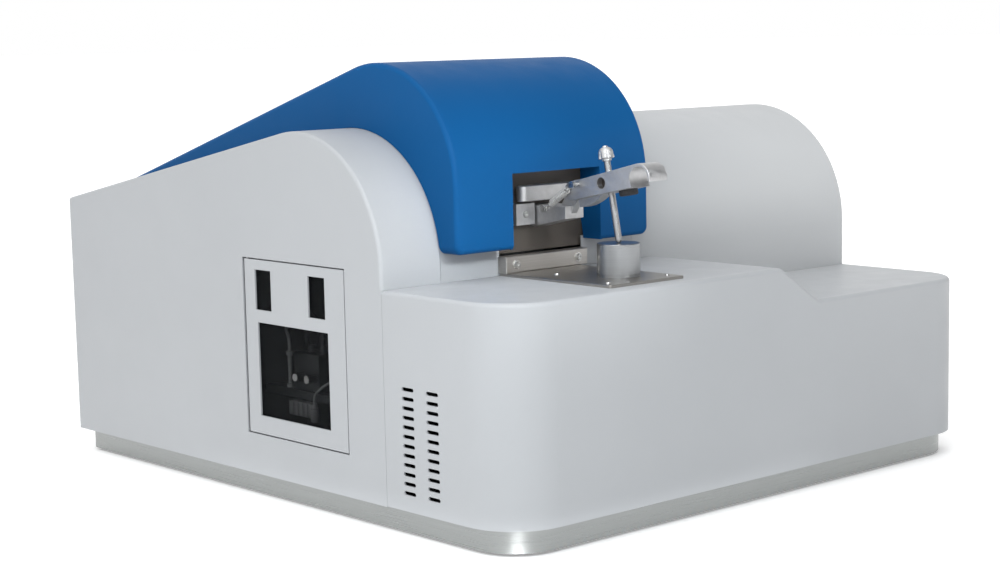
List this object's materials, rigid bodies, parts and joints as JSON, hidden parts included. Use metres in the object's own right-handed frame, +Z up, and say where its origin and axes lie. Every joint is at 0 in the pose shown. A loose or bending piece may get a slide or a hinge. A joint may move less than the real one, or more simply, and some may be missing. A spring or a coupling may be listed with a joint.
{
  "type": "optical emission spectrometer",
  "caption": "Bench-top optical emission spectrometer for metals: grey casing with a front table, blue hood, spark stand with a swinging sample clamp, and a side service door.",
  "frame": {"origin": "centre of the footprint on the bench", "axes": "+X to the right seen from the operator, +Y from the front table to the rear panel, +Z up"},
  "size_m": [0.75, 0.82, 0.4854],
  "materials": {
    "casing_paint": "fine textured powder coat, light grey",
    "hood_paint": "satin blue paint",
    "plinth_steel": "brushed",
    "sheet_steel": "plain sheet",
    "dark_paint": "matt dark paint",
    "plate_steel": "ground",
    "screw_steel": "turned",
    "clamp_aluminium": "bead blasted",
    "sample_steel": "ground and polished",
    "black_rubber": "matt",
    "window_glass": "dark tinted",
    "chamber_brass": "machined",
    "insulator_ceramic": "fired",
    "tungsten": "ground to a point",
    "cast_aluminium": "cast and machined",
    "grating_mirror": "ruled",
    "board_green": "coated board",
    "black_plastic": "moulded"
  },
  "bodies": {
    "housing": {"bar_washers": "screw_steel", "base_pan": "sheet_steel", "base_plinth": "plinth_steel", "bay_rail": "sheet_steel", "bracket_bar": "plate_steel", "centre_cover": "casing_paint", "clamp_back_panel": "dark_paint", "clamp_base": "clamp_aluminium", "clamp_crossbar": "clamp_aluminium", "clamp_pivot_pin": "screw_steel", "clamp_screws": "screw_steel", "clamp_spring": "screw_steel", "controller_board": "board_green", "counter_electrode": "tungsten", "detector_board": "board_green", "door_frame": "sheet_steel", "door_hinge_pin": "screw_steel", "electrode_holder": "chamber_brass", "electrode_insulator": "insulator_ceramic", "exhaust_port": "cast_aluminium", "fan_frame": "dark_paint", "fan_guard": "sheet_steel", "front_table_cover": "casing_paint", "gas_inlet": "chamber_brass", "gas_manifold": "chamber_brass", "grating": "grating_mirror", "grating_holder": "cast_aluminium", "hood_cover": "hood_paint", "left_side_cover": "casing_paint", "light_tube": "cast_aluminium", "mains_inlet": "black_plastic", "optics_bench": "sheet_steel", "optics_chamber": "cast_aluminium", "optics_lid": "cast_aluminium", "panel_screws": "screw_steel", "plate_screws": "screw_steel", "power_supply": "cast_aluminium", "rear_panel": "sheet_steel", "right_side_cover": "casing_paint", "rubber_feet": "black_rubber", "service_bay": "sheet_steel", "solenoid_valve": "cast_aluminium", "spark_chamber": "chamber_brass", "spark_source_unit": "cast_aluminium", "spring_base_screw": "screw_steel", "switch_bezel": "black_plastic", "table_plate": "plate_steel"},
    "clamp_arm": {"clamp_arm": "clamp_aluminium", "arm_pad": "black_rubber", "rod_barrel": "screw_steel", "spring_arm_screw": "screw_steel"},
    "press_rod": {"press_rod": "screw_steel", "rod_knob": "clamp_aluminium"},
    "setup_sample": {"setup_sample": "sample_steel"},
    "service_door": {"service_door": "casing_paint", "door_panes": "window_glass"},
    "spark_flow_knob": {"spark_flow_knob": "black_plastic"},
    "purge_flow_knob": {"purge_flow_knob": "black_plastic"},
    "power_rocker": {"power_rocker": "black_plastic"},
    "fan_rotor": {"fan_rotor": "black_plastic"}
  },
  "joints": [
    {"name": "clamp_hinge", "type": "hinge", "parent": "housing", "child": "clamp_arm", "pos_m": [-0.149, -0.2758, 0.3488], "axis": [-1, 0, 0], "range_deg": [0, 60], "deforming": ["clamp_spring"]},
    {"name": "rod_slide", "type": "slide", "parent": "clamp_arm", "child": "press_rod", "axis": [0, 0.1908, 0.9816], "range_m": [0, 0.012]},
    {"name": "sample_slide", "type": "slide", "parent": "housing", "child": "setup_sample", "axis": [0, -1, 0], "range_m": [0, 0.025]},
    {"name": "door_hinge", "type": "hinge", "parent": "housing", "child": "service_door", "pos_m": [-0.371, 0.0285, 0.173], "axis": [0, 0, -1], "range_deg": [0, 100]},
    {"name": "spark_flow_turn", "type": "hinge", "parent": "housing", "child": "spark_flow_knob", "pos_m": [-0.341, -0.02948, 0.14], "axis": [-1, 0, 0], "range_deg": [0, 270]},
    {"name": "purge_flow_turn", "type": "hinge", "parent": "housing", "child": "purge_flow_knob", "pos_m": [-0.341, -0.0511, 0.14], "axis": [-1, 0, 0], "range_deg": [0, 270]},
    {"name": "rocker_tip", "type": "hinge", "parent": "housing", "child": "power_rocker", "pos_m": [-0.205, 0.3876, 0.075], "axis": [1, 0, 0], "range_deg": [0, 18]},
    {"name": "fan_spin", "type": "hinge", "parent": "housing", "child": "fan_rotor", "pos_m": [0.185, 0.3725, 0.19], "axis": [0, 1, 0], "continuous": true}
  ]
}
